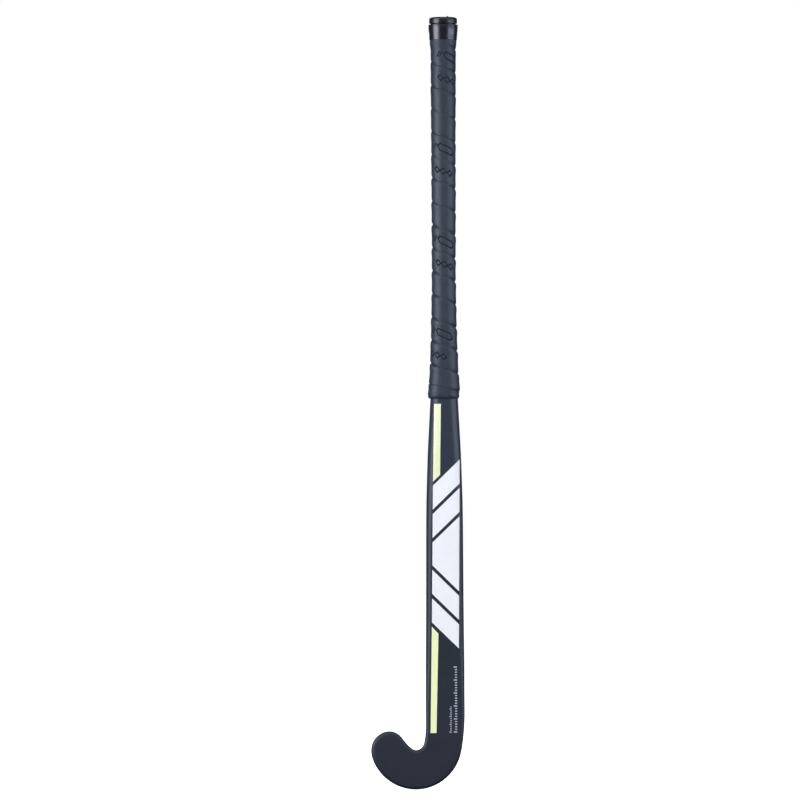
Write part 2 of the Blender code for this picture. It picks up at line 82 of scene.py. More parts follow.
HANDLE_LEAN = BOW / ((HANDLE_FROM - BOW_AT) / 2 + (TOP - HANDLE_FROM))
# plan of the hook, laid out as arcs: the sole and heel are one large arc, the
# toe is crowned by a smaller one and the crook is hollowed by a third
SOLE_AT, SOLE_RADIUS = (-35.5, 55.5), 55.5
TOE_AT, TOE_RADIUS = (-67.5, 50.5), 19.0
CROOK_AT, CROOK_RADIUS = (-35.5, 57.0), 10.0
NECK_HALF = 23.4           # half width where the hook meets the shaft
NECK_AT = 92.0
HEEL_BEARING, SOLE_BEARING, FLANK_BEARING = -15, -90, -150   # along the sole arc
TOE_BEARING, THROAT_BEARING = 120, 40                        # along the toe arc
SHAFT_REACH, FLANK_REACH, THROAT_REACH = 14.0, 17.0, 6.0


def on_arc(centre, radius, bearing):
    a = math.radians(bearing)
    return (centre[0] + radius * math.cos(a), centre[1] + radius * math.sin(a))


def arc_reach(radius, sweep):
    """Handle length that makes a cubic follow an arc of the given sweep."""
    return 4 / 3 * math.tan(math.radians(sweep) / 4) * radius


def hook_anchors():
    """Two edges of the hook: (point, heading in degrees, reach before, after)."""
    heel = arc_reach(SOLE_RADIUS, HEEL_BEARING - SOLE_BEARING)
    sole = arc_reach(SOLE_RADIUS, SOLE_BEARING - FLANK_BEARING)
    crook = arc_reach(CROOK_RADIUS, HEEL_BEARING - SOLE_BEARING)
    crown = arc_reach(TOE_RADIUS, TOE_BEARING - THROAT_BEARING)
    toe = on_arc(TOE_AT, TOE_RADIUS, TOE_BEARING)
    outer = (
        ((NECK_HALF, NECK_AT), -90, 0.0, SHAFT_REACH),
        (on_arc(SOLE_AT, SOLE_RADIUS, HEEL_BEARING), HEEL_BEARING - 90, SHAFT_REACH, heel),
        (on_arc(SOLE_AT, SOLE_RADIUS, SOLE_BEARING), 180, heel, sole),
        (on_arc(SOLE_AT, SOLE_RADIUS, FLANK_BEARING), FLANK_BEARING + 270, sole, FLANK_REACH),
        (toe, TOE_BEARING - 90, FLANK_REACH, 0.0),
    )
    inner = (
        ((-NECK_HALF, NECK_AT), -90, 0.0, SHAFT_REACH - 2.0),
        (on_arc(CROOK_AT, CROOK_RADIUS, HEEL_BEARING), HEEL_BEARING - 90, SHAFT_REACH - 2.0, crook),
        (on_arc(CROOK_AT, CROOK_RADIUS, SOLE_BEARING), 180, crook, THROAT_REACH),
        (on_arc(TOE_AT, TOE_RADIUS, THROAT_BEARING), THROAT_BEARING + 90, THROAT_REACH, crown),
        (toe, TOE_BEARING + 90, crown, 0.0),
    )
    return outer, inner


HEEL_AND_SOLE, CROOK_AND_TOE = hook_anchors()


def table(stations, x):
    """Monotone cubic through design stations."""
    xs = np.array([p[0] for p in stations], float)
    ys = np.array([p[1] for p in stations], float)
    h = np.diff(xs)
    d = np.diff(ys) / h
    m = np.zeros_like(ys)
    for i in range(1, len(ys) - 1):
        if d[i - 1] * d[i] > 0:
            m[i] = 2 * d[i - 1] * d[i] / (d[i - 1] + d[i])
    x = np.clip(np.asarray(x, float), xs[0], xs[-1])
    k = np.clip(np.searchsorted(xs, x) - 1, 0, len(h) - 1)
    t = (x - xs[k]) / h[k]
    return ((1 + 2 * t) * (1 - t) ** 2 * ys[k] + t * (1 - t) ** 2 * h[k] * m[k]
            + t * t * (3 - 2 * t) * ys[k + 1] + t * t * (t - 1) * h[k] * m[k + 1])


def half_width(z):
    return table(HALF_WIDTH, z)


def thickness(z):
    return table(THICKNESS, z)


def edge_radius(z):
    return table(EDGE_RADIUS, z)


def face_line(z):
    z = np.asarray(z, float)
    y0 = HEAD_LEAN * HEAD_FLAT_TO
    h = BOW_AT - HEAD_FLAT_TO
    t = np.clip((z - HEAD_FLAT_TO) / h, 0, 1)
    rise = (y0 * (1 + 2 * t) * (1 - t) ** 2 + HEAD_LEAN * h * t * (1 - t) ** 2
            + BOW * t * t * (3 - 2 * t))
    bend = BOW - HANDLE_LEAN * (z - BOW_AT) ** 2 / (2 * (HANDLE_FROM - BOW_AT))
    handle = BOW - HANDLE_LEAN * ((HANDLE_FROM - BOW_AT) / 2 + (z - HANDLE_FROM))
    return np.where(z < HEAD_FLAT_TO, HEAD_LEAN * z,
                    np.where(z < BOW_AT, rise, np.where(z < HANDLE_FROM, bend, handle)))


AXIS_Y = float(face_line(GRIP_MIDDLE)) + float(thickness(GRIP_MIDDLE)) / 2


def world(p):
    """Stick frame in mm to the part's frame in m."""
    p = np.asarray(p, float)
    return (p - np.array([0.0, AXIS_Y, GRIP_MIDDLE])) * MM


def hook_curve(anchors, k, t):
    (p0, a0, _, out), (p3, a3, back, _) = anchors[k], anchors[k + 1]
    p0, p3 = np.array(p0), np.array(p3)
    p1 = p0 + out * np.array([math.cos(math.radians(a0)), math.sin(math.radians(a0))])
    p2 = p3 - back * np.array([math.cos(math.radians(a3)), math.sin(math.radians(a3))])
    return (1 - t) ** 3 * p0 + 3 * t * (1 - t) ** 2 * p1 + 3 * t * t * (1 - t) * p2 + t ** 3 * p3


def hook_outline():
    ts = np.linspace(0, 1, 61)
    heel = [hook_curve(HEEL_AND_SOLE, k, t) for k in range(4) for t in ts]
    crook = [hook_curve(CROOK_AND_TOE, k, t) for k in range(4) for t in ts]
    top = [np.array([float(half_width(z)), z]) for z in (150.0, 140.0, 130.0, 120.0, 110.0, 100.0)]
    left = [np.array([-p[0], p[1]]) for p in top]
    return np.array(top + heel + crook[::-1] + left[::-1])


OUTLINE = hook_outline()


def edge_distance(x, z):
    if z >= 130.0:
        return float(half_width(z)) - abs(x)
    p = np.array([x, z])
    a, b = OUTLINE[:-1], OUTLINE[1:]
    ab = b - a
    length2 = np.maximum((ab ** 2).sum(1), 1e-12)
    t = np.clip(((p - a) * ab).sum(1) / length2, 0, 1)
    return float(np.sqrt((((a + t[:, None] * ab) - p) ** 2).sum(1)).min())


def front_depth(d, radius):
    d = np.clip(d, 0.0, radius)
    return radius - np.sqrt(np.maximum(radius ** 2 - (radius - d) ** 2, 0.0))


def back_share(d, reach):
    q = 1 - np.clip(d / reach, 0.0, 1.0)
    return (1 - q ** CROWN) ** (1 / CROWN)


# --------------------------------------------------------------- mesh tools
def smooth(mesh, angle=40.0):
    mesh.shade_smooth()
    mesh.set_sharp_from_angle(angle=math.radians(angle))


def piece(name, verts, faces, mats, nodes, angle=40.0, attributes=None, flip=True):
    mesh = bpy.data.meshes.new(name)
    mesh.from_pydata([tuple(v) for v in verts], [], faces)
    for key, values in (attributes or {}).items():
        values = np.asarray(values, float)
        kind = "FLOAT_VECTOR" if values.ndim == 2 else "FLOAT"
        att = mesh.attributes.new(key, kind, "POINT")
        att.data.foreach_set("vector" if kind == "FLOAT_VECTOR" else "value", values.ravel())
    if flip:
        bm = bmesh.new()
        bm.from_mesh(mesh)
        bmesh.ops.recalc_face_normals(bm, faces=bm.faces)
        bm.to_mesh(mesh)
        bm.free()
    mesh.validate()
    smooth(mesh, angle)
    obj = bpy.data.objects.new(name, mesh)
    bpy.context.scene.collection.objects.link(obj)
    for m in mats:
        mesh.materials.append(m)
    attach(obj, "root")
    if nodes:
        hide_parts(*nodes)
    return obj


def grid_faces(rows, cols, wrap=True, offset=0):
    faces = []
    n = cols if wrap else cols - 1
    for i in range(rows - 1):
        a, b = offset + i * cols, offset + (i + 1) * cols
        for j in range(n):
            k = (j + 1) % cols
            faces.append((a + j, a + k, b + k, b + j))
    return faces


# ---------------------------------------------------------- shading helpers
class Mat:
    def __init__(self, name, colour, roughness, **values):
        self.m = bpy.data.materials.new(name)
        self.m.use_nodes = True
        self.t = self.m.node_tree
        self.shader = self.t.nodes["Principled BSDF"]
        self.shader.inputs["Base Color"].default_value = (*colour, 1)
        self.shader.inputs["Roughness"].default_value = roughness
        for key, v in values.items():
            self.shader.inputs[key.replace("_", " ")].default_value = v
        self.coord = self.t.nodes.new("ShaderNodeTexCoord").outputs["Object"]

    def node(self, kind, **props):
        n = self.t.nodes.new(kind)
        for k, v in props.items():
            setattr(n, k, v)
        return n

    def put(self, socket, value):
        if hasattr(value, "links"):
            self.t.links.new(value, socket)
        else:
            socket.default_value = value

    def math(self, op, a, b=None, c=None, clamp=False):
        n = self.node("ShaderNodeMath", operation=op, use_clamp=clamp)
        for i, v in enumerate((a, b, c)):
            if v is not None:
                self.put(n.inputs[i], v)
        return n.outputs[0]

    def noise(self, scale, detail=3.0, rough=0.5, coord=None, stretch=None, distortion=0.0):
        vec = coord if coord is not None else self.coord
        if stretch is not None:
            mp = self.node("ShaderNodeMapping")
            mp.inputs["Scale"].default_value = stretch
            self.put(mp.inputs["Vector"], vec)
            vec = mp.outputs[0]
        n = self.node("ShaderNodeTexNoise")
        n.inputs["Scale"].default_value = scale
        n.inputs["Detail"].default_value = detail
        n.inputs["Roughness"].default_value = rough
        n.inputs["Distortion"].default_value = distortion
        self.put(n.inputs["Vector"], vec)
        return n.outputs["Fac"]

    def ramp(self, value, lo, hi, out_lo=0.0, out_hi=1.0, smooth=True):
        n = self.node("ShaderNodeMapRange")
        n.interpolation_type = "SMOOTHSTEP" if smooth else "LINEAR"
        for key, v in (("Value", value), ("From Min", lo), ("From Max", hi),
                       ("To Min", out_lo), ("To Max", out_hi)):
            self.put(n.inputs[key], v)
        return n.outputs[0]

    def mix(self, fac, a, b):
        n = self.node("ShaderNodeMix", data_type="RGBA")
        self.put(n.inputs[0], fac)
        self.put(n.inputs[6], a if hasattr(a, "links") else (*a, 1))
        self.put(n.inputs[7], b if hasattr(b, "links") else (*b, 1))
        return n.outputs[2]

    def bump(self, height, strength=0.3, distance=0.0002, normal=None):
        n = self.node("ShaderNodeBump")
        n.inputs["Strength"].default_value = strength
        n.inputs["Distance"].default_value = distance
        self.put(n.inputs["Height"], height)
        if normal is not None:
            self.put(n.inputs["Normal"], normal)
        return n.outputs[0]

    def attribute(self, name):
        n = self.node("ShaderNodeAttribute", attribute_name=name)
        return n

    def set(self, key, value):
        self.put(self.shader.inputs[key], value)


def lacquer():
    """Satin graphite lacquer, painted a little lighter above the middle of the shaft as a painted sheen."""
    m = Mat("graphite_lacquer", (0.016, 0.020, 0.030), 0.46, Specular_IOR_Level=0.38,
            Coat_Weight=0.06, Coat_Roughness=0.30, Coat_IOR=1.5)
    sep = m.node("ShaderNodeSeparateXYZ")
    m.put(sep.inputs[0], m.coord)
    height = m.math("ADD", sep.outputs[2], GRIP_MIDDLE * MM)      # above the hook's base
    # painted shading by height: a separate tone over the head matched to its shading, and a painted sheen that
    # lightens the colour from 200 to 440 mm up
    low = m.mix(m.ramp(height, 0.050, 0.110), (0.0120, 0.0145, 0.0230), (0.0088, 0.0160, 0.0232))
    base = m.mix(m.ramp(height, 0.200, 0.440), low, (0.0195, 0.0265, 0.0400))
    cloud = m.noise(26.0, 3.0, 0.55)
    base = m.mix(m.ramp(cloud, 0.30, 0.72, 0.0, 0.18), base, (0.026, 0.032, 0.046))
    fleck = m.noise(5200.0, 1.0, 0.5)
    base = m.mix(m.ramp(fleck, 0.66, 0.80, 0.0, 0.22), base, (0.055, 0.063, 0.080))
    # rubbed lacquer low on the rim of the hook
    rim = m.attribute("edge").outputs["Fac"]
    scuff = m.noise(900.0, 4.0, 0.6, stretch=(1.0, 1.0, 0.35))
    worn = m.math("MULTIPLY", rim, m.ramp(scuff, 0.62, 0.74))
    m.set("Base Color", m.mix(m.math("MULTIPLY", worn, 0.20), base, (0.08, 0.085, 0.095)))
    fine = m.noise(420.0, 2.0, 0.5)
    rough = m.ramp(fine, 0.3, 0.7, 0.43, 0.50, False)
    m.set("Roughness", m.math("ADD", rough, m.math("MULTIPLY", worn, 0.2)))
    peel = m.noise(650.0, 2.0, 0.5)
    m.set("Normal", m.bump(peel, 0.10, 0.00012))
    return m.m


def film(name, colour, shade):
    """Transfer film under the same clear coat as the lacquer."""
    m = Mat(name, colour, 0.46, Coat_Weight=0.08, Coat_Roughness=0.30)
    mottle = m.noise(180.0, 4.0, 0.6)
    speck = m.noise(2600.0, 2.0, 0.5)
    c = m.mix(m.ramp(mottle, 0.3, 0.7), colour, shade)
    c = m.mix(m.ramp(speck, 0.70, 0.80, 0.0, 0.25), c, tuple(v * 0.6 for v in colour))
    m.set("Base Color", c)
    m.set("Roughness", m.ramp(m.noise(420.0, 2.0), 0.3, 0.7, 0.43, 0.50, False))
    m.set("Normal", m.bump(m.noise(650.0, 2.0), 0.10, 0.00012))
    return m.m


def grip_material():
    """Cushioned polyurethane tape: leathery grain, soft seams, pressed outlines; painted shade in the seams and
    outlines, painted light toward its lower end.
    """
    m = Mat("grip_pu", (0.018, 0.025, 0.037), 0.50, Specular_IOR_Level=0.38)
    strip = m.attribute("strip").outputs["Vector"]
    sep = m.node("ShaderNodeSeparateXYZ")
    m.put(sep.inputs[0], strip)
    u, v = sep.outputs[0], sep.outputs[1]          # mm along, mm across (0 at the middle)

    def local(centre):
        """Distance along the strip from the nearest repeat of a motif."""
        shifted = m.math("ADD", m.math("SUBTRACT", u, centre), PERIOD * 20.5)
        return m.math("SUBTRACT", m.math("MODULO", shifted, PERIOD), PERIOD / 2)

    def line(f, width):
        return m.math("SUBTRACT", 1.0, m.ramp(m.math("ABSOLUTE", f), width * 0.55, width), clamp=True)

    # motif one: a long pointed-ended panel outline with two slashes beside it
    x = local(0.0)
    tilt = m.math("ABSOLUTE", m.math("ADD", v, m.math("MULTIPLY", x, 0.16)))
    ax = m.math("ABSOLUTE", m.math("SUBTRACT", x, 3.0))
    end = m.math("ADD", m.math("MULTIPLY", m.math("SUBTRACT", ax, 10.0), 0.80), m.math("MULTIPLY", tilt, 0.60))
    motif = line(m.math("MAXIMUM", m.math("SUBTRACT", tilt, 4.0), end), 0.92)
    inside = m.math("LESS_THAN", m.math("ABSOLUTE", v), 3.8)
    for at in (10.6, 13.4):
        slant = m.math("SUBTRACT", m.math("ADD", x, at), m.math("MULTIPLY", v, 0.5))
        motif = m.math("MAXIMUM", motif, m.math("MULTIPLY", inside, line(slant, 0.80)))
    # motif two: three small diamonds in a row, one turn further on
    y = local(TURN_LENGTH)
    for at in (-7.8, 0.0, 7.8):
        r = m.math("ADD", m.math("ABSOLUTE", m.math("SUBTRACT", y, at)), m.math("ABSOLUTE", v))
        motif = m.math("MAXIMUM", motif, line(m.math("MULTIPLY", m.math("SUBTRACT", r, 3.5), 0.72), 0.84))

    pebble = m.node("ShaderNodeTexVoronoi", feature="SMOOTH_F1")
    pebble.inputs["Scale"].default_value = 1500.0
    pebble.inputs["Smoothness"].default_value = 0.6
    m.put(pebble.inputs["Vector"], m.coord)
    grain = m.noise(2600.0, 3.0, 0.6)
    soft = m.noise(70.0, 3.0, 0.5)
    handled = m.noise(22.0, 3.0, 0.5, distortion=0.5)
    base = m.mix(m.ramp(soft, 0.3, 0.7), (0.0160, 0.0235, 0.0340), (0.0205, 0.0285, 0.0405))
    base = m.mix(m.ramp(handled, 0.5, 0.75, 0.0, 0.30), base, (0.0235, 0.0305, 0.0425))
    # painted light: the grip's colour is made lighter toward its lower end
    split = m.node("ShaderNodeSeparateXYZ")
    m.put(split.inputs[0], m.coord)
    lower_painted_light = m.ramp(split.outputs[2], 0.02, 0.18, 0.50, 0.0)
    base = m.mix(lower_painted_light, base, (0.0295, 0.0375, 0.0520))
    # painted shade: this mask darkens the seam valleys and the underside of the level turn's lower edge
    seam = m.attribute("groove").outputs["Fac"]
    base = m.mix(m.math("MULTIPLY", seam, 0.45), base, (0.010, 0.013, 0.019))
    # painted shade: the pressed outlines are coloured near black for the shade in their grooves
    base = m.mix(m.math("MULTIPLY", motif, 0.95), base, (0.0020, 0.0035, 0.0075))
    m.set("Base Color", base)
    rough = m.ramp(grain, 0.25, 0.75, 0.45, 0.55, False)
    m.set("Roughness", m.math("ADD", rough, m.math("MULTIPLY", motif, 0.40), clamp=True))
    height = m.math("ADD", m.math("MULTIPLY", pebble.outputs["Distance"], 0.30),
                    m.math("MULTIPLY", grain, 0.16))
    height = m.math("ADD", height, m.math("MULTIPLY", soft, 0.7))
    height = m.math("SUBTRACT", height, m.math("MULTIPLY", motif, 0.6))
    m.set("Normal", m.bump(height, 0.5, 0.00035))
    return m.m


def gloss_material(name, colour, roughness, wrinkle):
    m = Mat(name, colour, roughness, Specular_IOR_Level=0.58)
    a = m.noise(90.0, 3.0, 0.5, stretch=(1.0, 1.0, 2.2))
    b = m.noise(1800.0, 2.0, 0.5)
    m.set("Base Color", m.mix(m.ramp(a, 0.3, 0.7), colour, tuple(c * 1.35 for c in colour)))
    m.set("Roughness", m.ramp(b, 0.3, 0.7, roughness * 0.92, roughness * 1.10, False))
    h = m.math("ADD", a, m.math("MULTIPLY", b, 0.04))
    m.set("Normal", m.bump(h, wrinkle, 0.0005))
    return m.m


def plain_material(name, dark, light, roughness, scale, bump=0.4):
    """Foam, cured ply and other hidden pieces: mottled, with a grain."""
    m = Mat(name, dark, roughness)
    n = m.noise(scale, 4.0, 0.6)
    m.set("Base Color", m.mix(m.ramp(n, 0.3, 0.7), dark, light))
    m.set("Roughness", m.ramp(n, 0.3, 0.7, roughness - 0.06, roughness + 0.06, False))
    m.set("Normal", m.bump(n, bump, 0.0003))
    return m.m


def weave_material(name, dark, light, roughness, pitch):
    """Two by two fibre cloth for the plies."""
    m = Mat(name, dark, roughness)
    sep = m.node("ShaderNodeSeparateXYZ")
    m.put(sep.inputs[0], m.coord)
    diag_a = m.math("ADD", sep.outputs[0], sep.outputs[2])
    diag_b = m.math("SUBTRACT", sep.outputs[0], sep.outputs[2])
    wave_a = m.math("SINE", m.math("MULTIPLY", diag_a, 2 * math.pi / pitch))
    wave_b = m.math("SINE", m.math("MULTIPLY", diag_b, 2 * math.pi / pitch))
    w = m.ramp(m.math("MULTIPLY", wave_a, wave_b), -0.4, 0.4)
    m.set("Base Color", m.mix(w, dark, light))
    m.set("Roughness", m.ramp(m.noise(900.0), 0.3, 0.7, roughness - 0.05, roughness + 0.05, False))
    m.set("Normal", m.bump(w, 0.3, 0.0002))
    return m.m


PITCH = 27.84
SEAM_AT = 699.5
TURN_LENGTH = 91.7
PERIOD = 4 * TURN_LENGTH

LACQUER = lacquer()
LIME = film("lime_film", (0.785, 0.835, 0.470), (0.812, 0.857, 0.520))
LIME_LOW = film("lime_film_low", (0.848, 0.912, 0.445), (0.875, 0.930, 0.498))
WHITE = film("white_film", (0.826, 0.832, 0.797), (0.850, 0.855, 0.820))
GREY = film("grey_print", (0.42, 0.45, 0.50), (0.47, 0.50, 0.55))
GRIP = grip_material()
TAPE = gloss_material("pvc_tape", (0.0030, 0.0048, 0.0080), 0.29, 0.16)
CAP = gloss_material("cap_gloss_black", (0.0035, 0.0050, 0.0080), 0.29, 0.08)

# ---------------------------------------------------------------- laminate
CORNER, CROWN_STEPS = 12, 28


def section(a, b, thick, radius, reach, tip=False):
    """Ring of points (mm) and edge closeness round one ruling."""
    span = np.linalg.norm(a - b)
    u = (a - b) / span
    mid = (a + b) / 2
    w = span / 2
    step = min(radius, 0.9 * w)
    ss = []
    for i in range(CORNER + 1):
        ss.append((-w + step * (1 - math.cos(math.pi / 2 * i / CORNER)), "e" if i == 0 else "f"))
    inner = max(w - step - 0.8, 0.0)
    if inner > 0.5:
        ss += [(-inner, "f"), (-inner / 3, "f"), (inner / 3, "f"), (inner, "f")]
    else:
        ss += [(-inner * 0.6, "f"), (-inner * 0.2, "f"), (inner * 0.2, "f"), (inner * 0.6, "f")]
    for i in range(CORNER, -1, -1):
        ss.append((w - step * (1 - math.cos(math.pi / 2 * i / CORNER)), "e" if i == 0 else "f"))
    for i in range(1, CROWN_STEPS):
        ss.append((w * math.cos(math.pi * i / CROWN_STEPS), "b"))
    ring, close = [], []
    for s, side in ss:
        p = mid + s * u
        d = 0.0 if side == "e" else max(edge_distance(p[0], p[1]), 0.0)
        if side == "b":
            depth = radius + (thick - radius) * float(back_share(d, reach))
        else:
            depth = float(front_depth(d, radius))
        ring.append((p[0], float(face_line(p[1])) + depth, p[1]))
        low = max(0.0, 1.0 - max(p[1], 0.0) / 75.0)
        close.append(low * math.exp(-(d / 2.2) ** 2))
    return ring, close


def rulings():
    out = []
    zs = [917.0, 900.0] + list(np.arange(880, 480, -20.0)) + list(np.arange(478, 92.5, -4.0))
    for z in zs:
        w = float(half_width(z))
        out.append((np.array([w, z]), np.array([-w, z]), float(thickness(z)),
                    float(edge_radius(z)), w))
    steps = [(0, t) for t in np.linspace(0, 1, 12)[:-1]]
    steps += [(1, t) for t in np.linspace(0, 1, 20)[:-1]]
    steps += [(2, t) for t in np.linspace(0, 1, 18)[:-1]]
    steps += [(3, float(math.sin(q * math.pi / 2) ** 0.85)) for q in np.linspace(0, 0.955, 22)]
    for k, t in steps:
        thick = HEAD_THICKNESS[k] + (HEAD_THICKNESS[k + 1] - HEAD_THICKNESS[k]) * t
        edge = HOOK_EDGE if k else EDGE_RADIUS[0][1] + (HOOK_EDGE - EDGE_RADIUS[0][1]) * t
        out.append((hook_curve(HEEL_AND_SOLE, k, t), hook_curve(CROOK_AND_TOE, k, t), thick,
                    edge, HEAD_RADIUS))
    return out


def build_laminate():
    verts, edge, rows = [], [], 0
    for r in rulings():
        ring, close = section(*r)
        verts += ring
        edge += close
        rows += 1
    cols = len(verts) // rows
    faces = grid_faces(rows, cols)
    faces.append(tuple(range(cols)))
    tip = (CROOK_AND_TOE[-1][0][0], float(face_line(CROOK_AND_TOE[-1][0][1])) + HOOK_EDGE,
           CROOK_AND_TOE[-1][0][1])
    verts.append(tip)
    edge.append(0.0)
    last = (rows - 1) * cols
    for j in range(cols):
        faces.append((last + j, last + (j + 1) % cols, len(verts) - 1))
    return piece("stick_laminate", world(verts), faces, [LACQUER],
                 ["outer_laminate"], 60.0, {"edge": edge})


build_laminate()


# ---------------------------------------------------------------- markings
def surface(x, z, lift):
    """A point on the flat face, lifted along the local normal."""
    r = float(edge_radius(z))
    d = min(max(float(half_width(z)) - abs(x), 0.05), r)
    nx = (r - d) / r
    ny = math.sqrt(max(1 - nx * nx, 0.0))
    y = float(face_line(z)) + float(front_depth(d, r))
    return (x + math.copysign(nx, x) * lift, y - ny * lift, z)


def film_piece(name, patches, mat, node, proud=0.10, sunk=-0.15):
    """Thin closed films given as plan quads (tl, tr, br, bl, columns, rows)."""
    verts, faces = [], []
    for tl, tr, br, bl, nc, nr in patches:
        tl, tr, br, bl = [np.array(c, float) for c in (tl, tr, br, bl)]
        base = len(verts)
        cols, rows = nc + 1, nr + 1
        for lift in (proud, sunk):
            for i in range(rows):
                v = i / nr
                a, b = tl + (bl - tl) * v, tr + (br - tr) * v
                for j in range(cols):
                    x, z = a + (b - a) * (j / nc)
                    verts.append(surface(x, z, lift))
        m = rows * cols
        for i in range(nr):
            for j in range(nc):
                p = base + i * cols + j
                faces.append((p, p + 1, p + cols + 1, p + cols))
                q = p + m
                faces.append((q, q + cols, q + cols + 1, q + 1))
        rim = ([base + j for j in range(cols)]
               + [base + i * cols + nc for i in range(1, rows)]
               + [base + nr * cols + j for j in range(nc - 1, -1, -1)]
               + [base + i * cols for i in range(nr - 1, 0, -1)])
        for i, p in enumerate(rim):
            q = rim[(i + 1) % len(rim)]
            faces.append((p, p + m, q + m, q))
    return piece(name, world(verts), faces, [mat], [node], 50.0)


film_piece("lime_stripe_upper",
           [((-12.1, 462.4), (-4.1, 462.4), (-5.3, 377.0), (-13.8, 368.8), 8, 30)],
           LIME, "stripe_upper")
film_piece("lime_stripe_lower",
           [((-15.8, 194.6), (-7.9, 186.2), (-10.7, 67.4), (-17.8, 67.4), 8, 40)],
           LIME_LOW, "stripe_lower")


def left_edge(z):
    return -13.9 - 1.8 * (364.0 - z) / 164.0


def right_edge(z):
    return 18.3 - 1.7 * (395.0 - z) / 226.0


MIDDLE, BAR, SPACE, RISE = 282.0, 28.8, 5.4, 31.4
CENTRE_TOE_SIDE, CENTRE_HEEL_SIDE = 13.7, 45.1


def bar_corners(order):
    sign = 1 if order > 0 else -1
    start = CENTRE_TOE_SIDE + SPACE + (abs(order) - 1) * (BAR + SPACE)
    lo, hi = MIDDLE + sign * start, MIDDLE + sign * (start + BAR)
    lo_h, hi_h = lo + sign * RISE, hi + sign * RISE
    if sign > 0:
        return ((left_edge(hi), hi), (right_edge(hi_h), hi_h),
                (right_edge(lo_h), lo_h), (left_edge(lo), lo))
    return ((left_edge(lo), lo), (right_edge(lo_h), lo_h),
            (right_edge(hi_h), hi_h), (left_edge(hi), hi))


for node, order in (("face_bar_1", 2), ("face_bar_2", 1), ("face_bar_4", -1), ("face_bar_5", -2)):
    film_piece("white_" + node, [bar_corners(order) + (36, 10)], WHITE, node)
t, h = CENTRE_TOE_SIDE, CENTRE_HEEL_SIDE
film_piece("white_face_bar_3", [(
    (left_edge(MIDDLE + t), MIDDLE + t), (right_edge(MIDDLE + h), MIDDLE + h),
    (right_edge(MIDDLE - h), MIDDLE - h), (left_edge(MIDDLE - t), MIDDLE - t), 36, 24)],
    WHITE, "face_bar_3")


def ticks(x0, x1, z0, z1, pitch, width, long_every):
    out = []
    n = int((z1 - z0) / pitch) + 1
    for i in range(n):
        z = z0 + i * pitch
        left = x0 if i % long_every == 0 else x0 + 0.38 * (x1 - x0)
        out.append(((left, z + width), (x1, z + width), (x1, z), (left, z), 4, 1))
    return out


film_piece("print_ticks_short", ticks(4.9, 7.6, 68.0, 98.0, 2.3, 1.0, 4), GREY,
           "tick_rule_short")
film_piece("print_ticks_long", ticks(10.2, 14.2, 68.0, 147.0, 3.1, 1.35, 5), GREY,
           "tick_rule_long")


# ------------------------------------------------------- round the handle
def wrap(theta, z, growth):
    """Points (mm) on the handle's section grown outwards; arrays of equal shape."""
    theta, z, growth = np.broadcast_arrays(*[np.asarray(v, float) for v in (theta, z, growth)])
    w = half_width(z) + growth
    thick = thickness(z) + 2 * growth
    radius = edge_radius(z) + growth
    mid = thick / 2
    sx, sy = np.sin(theta), -np.cos(theta)
    low, high = np.zeros_like(w), np.full_like(w, 60.0)
    for _ in range(34):
        r = (low + high) / 2
        x, depth = np.abs(r * sx), mid + r * sy
        front = w - radius + np.sqrt(np.maximum(radius ** 2 - (radius - np.clip(depth, 0, radius)) ** 2, 0))
        q = np.clip((depth - radius) / (thick - radius), 0, 1)
        back = w * (1 - q ** CROWN) ** (1 / CROWN)
        inside = (depth > 0) & (depth < thick) & (x < np.where(depth < radius, front, back))
        low, high = np.where(inside, r, low), np.where(inside, high, r)
    return np.stack([low * sx, face_line(z) - growth + mid + low * sy, z], -1)


def ripple(theta, z, scale_t, scale_z, seed):
    """Smooth seeded unevenness, the same every run, closed round the handle."""
    out = np.empty(np.broadcast(theta, z).shape)
    th, zz = np.broadcast_arrays(theta, z)
    for i in np.ndindex(out.shape):
        out[i] = noise.noise(Vector((math.sin(th[i]) * scale_t + seed,
                                     math.cos(th[i]) * scale_t - seed, zz[i] * scale_z)))
    return out


# outer half width of the wrapped grip
GRIP_HALF = (
    (470, 18.6), (480, 19.0), (488, 18.45), (500, 17.35), (515, 16.8), (527, 16.4),
    (539, 15.7), (563, 15.3), (587, 14.8), (623, 14.35), (659, 14.4), (707, 14.55),
    (779, 14.65), (827, 14.95), (875, 15.05), (886, 15.1), (891, 15.5), (895, 16.1),
    (901, 16.6),
)
GRIP_TOP = 900.5
GRIP_END = 468.2


def seam_height(turns):
    """Height of the seam: an even helix that levels out over the last turn."""
    z = SEAM_AT - PITCH * np.asarray(turns, float)
    floor, soft = 471.5, 9.0
    return floor + soft * np.log1p(np.exp((z - floor) / soft))


# across the strip, in mm from its upper seam: outward height of the cushion.
# The upper edge is a rounded lip lying on the turn above, whose lower edge
# runs down under it.
STRIP = (
    (0.0, -0.85), (0.10, -0.55), (0.28, -0.30), (0.55, -0.12), (1.0, 0.02), (1.7, 0.11),
    (2.8, 0.16), (4.5, 0.16), (7.0, 0.11), (11.0, 0.02), (15.0, -0.03), (19.0, 0.0),
    (22.0, 0.04), (24.2, 0.02), (25.4, -0.08), (26.3, -0.20), (27.1, -0.32), (27.84, -0.42),
)


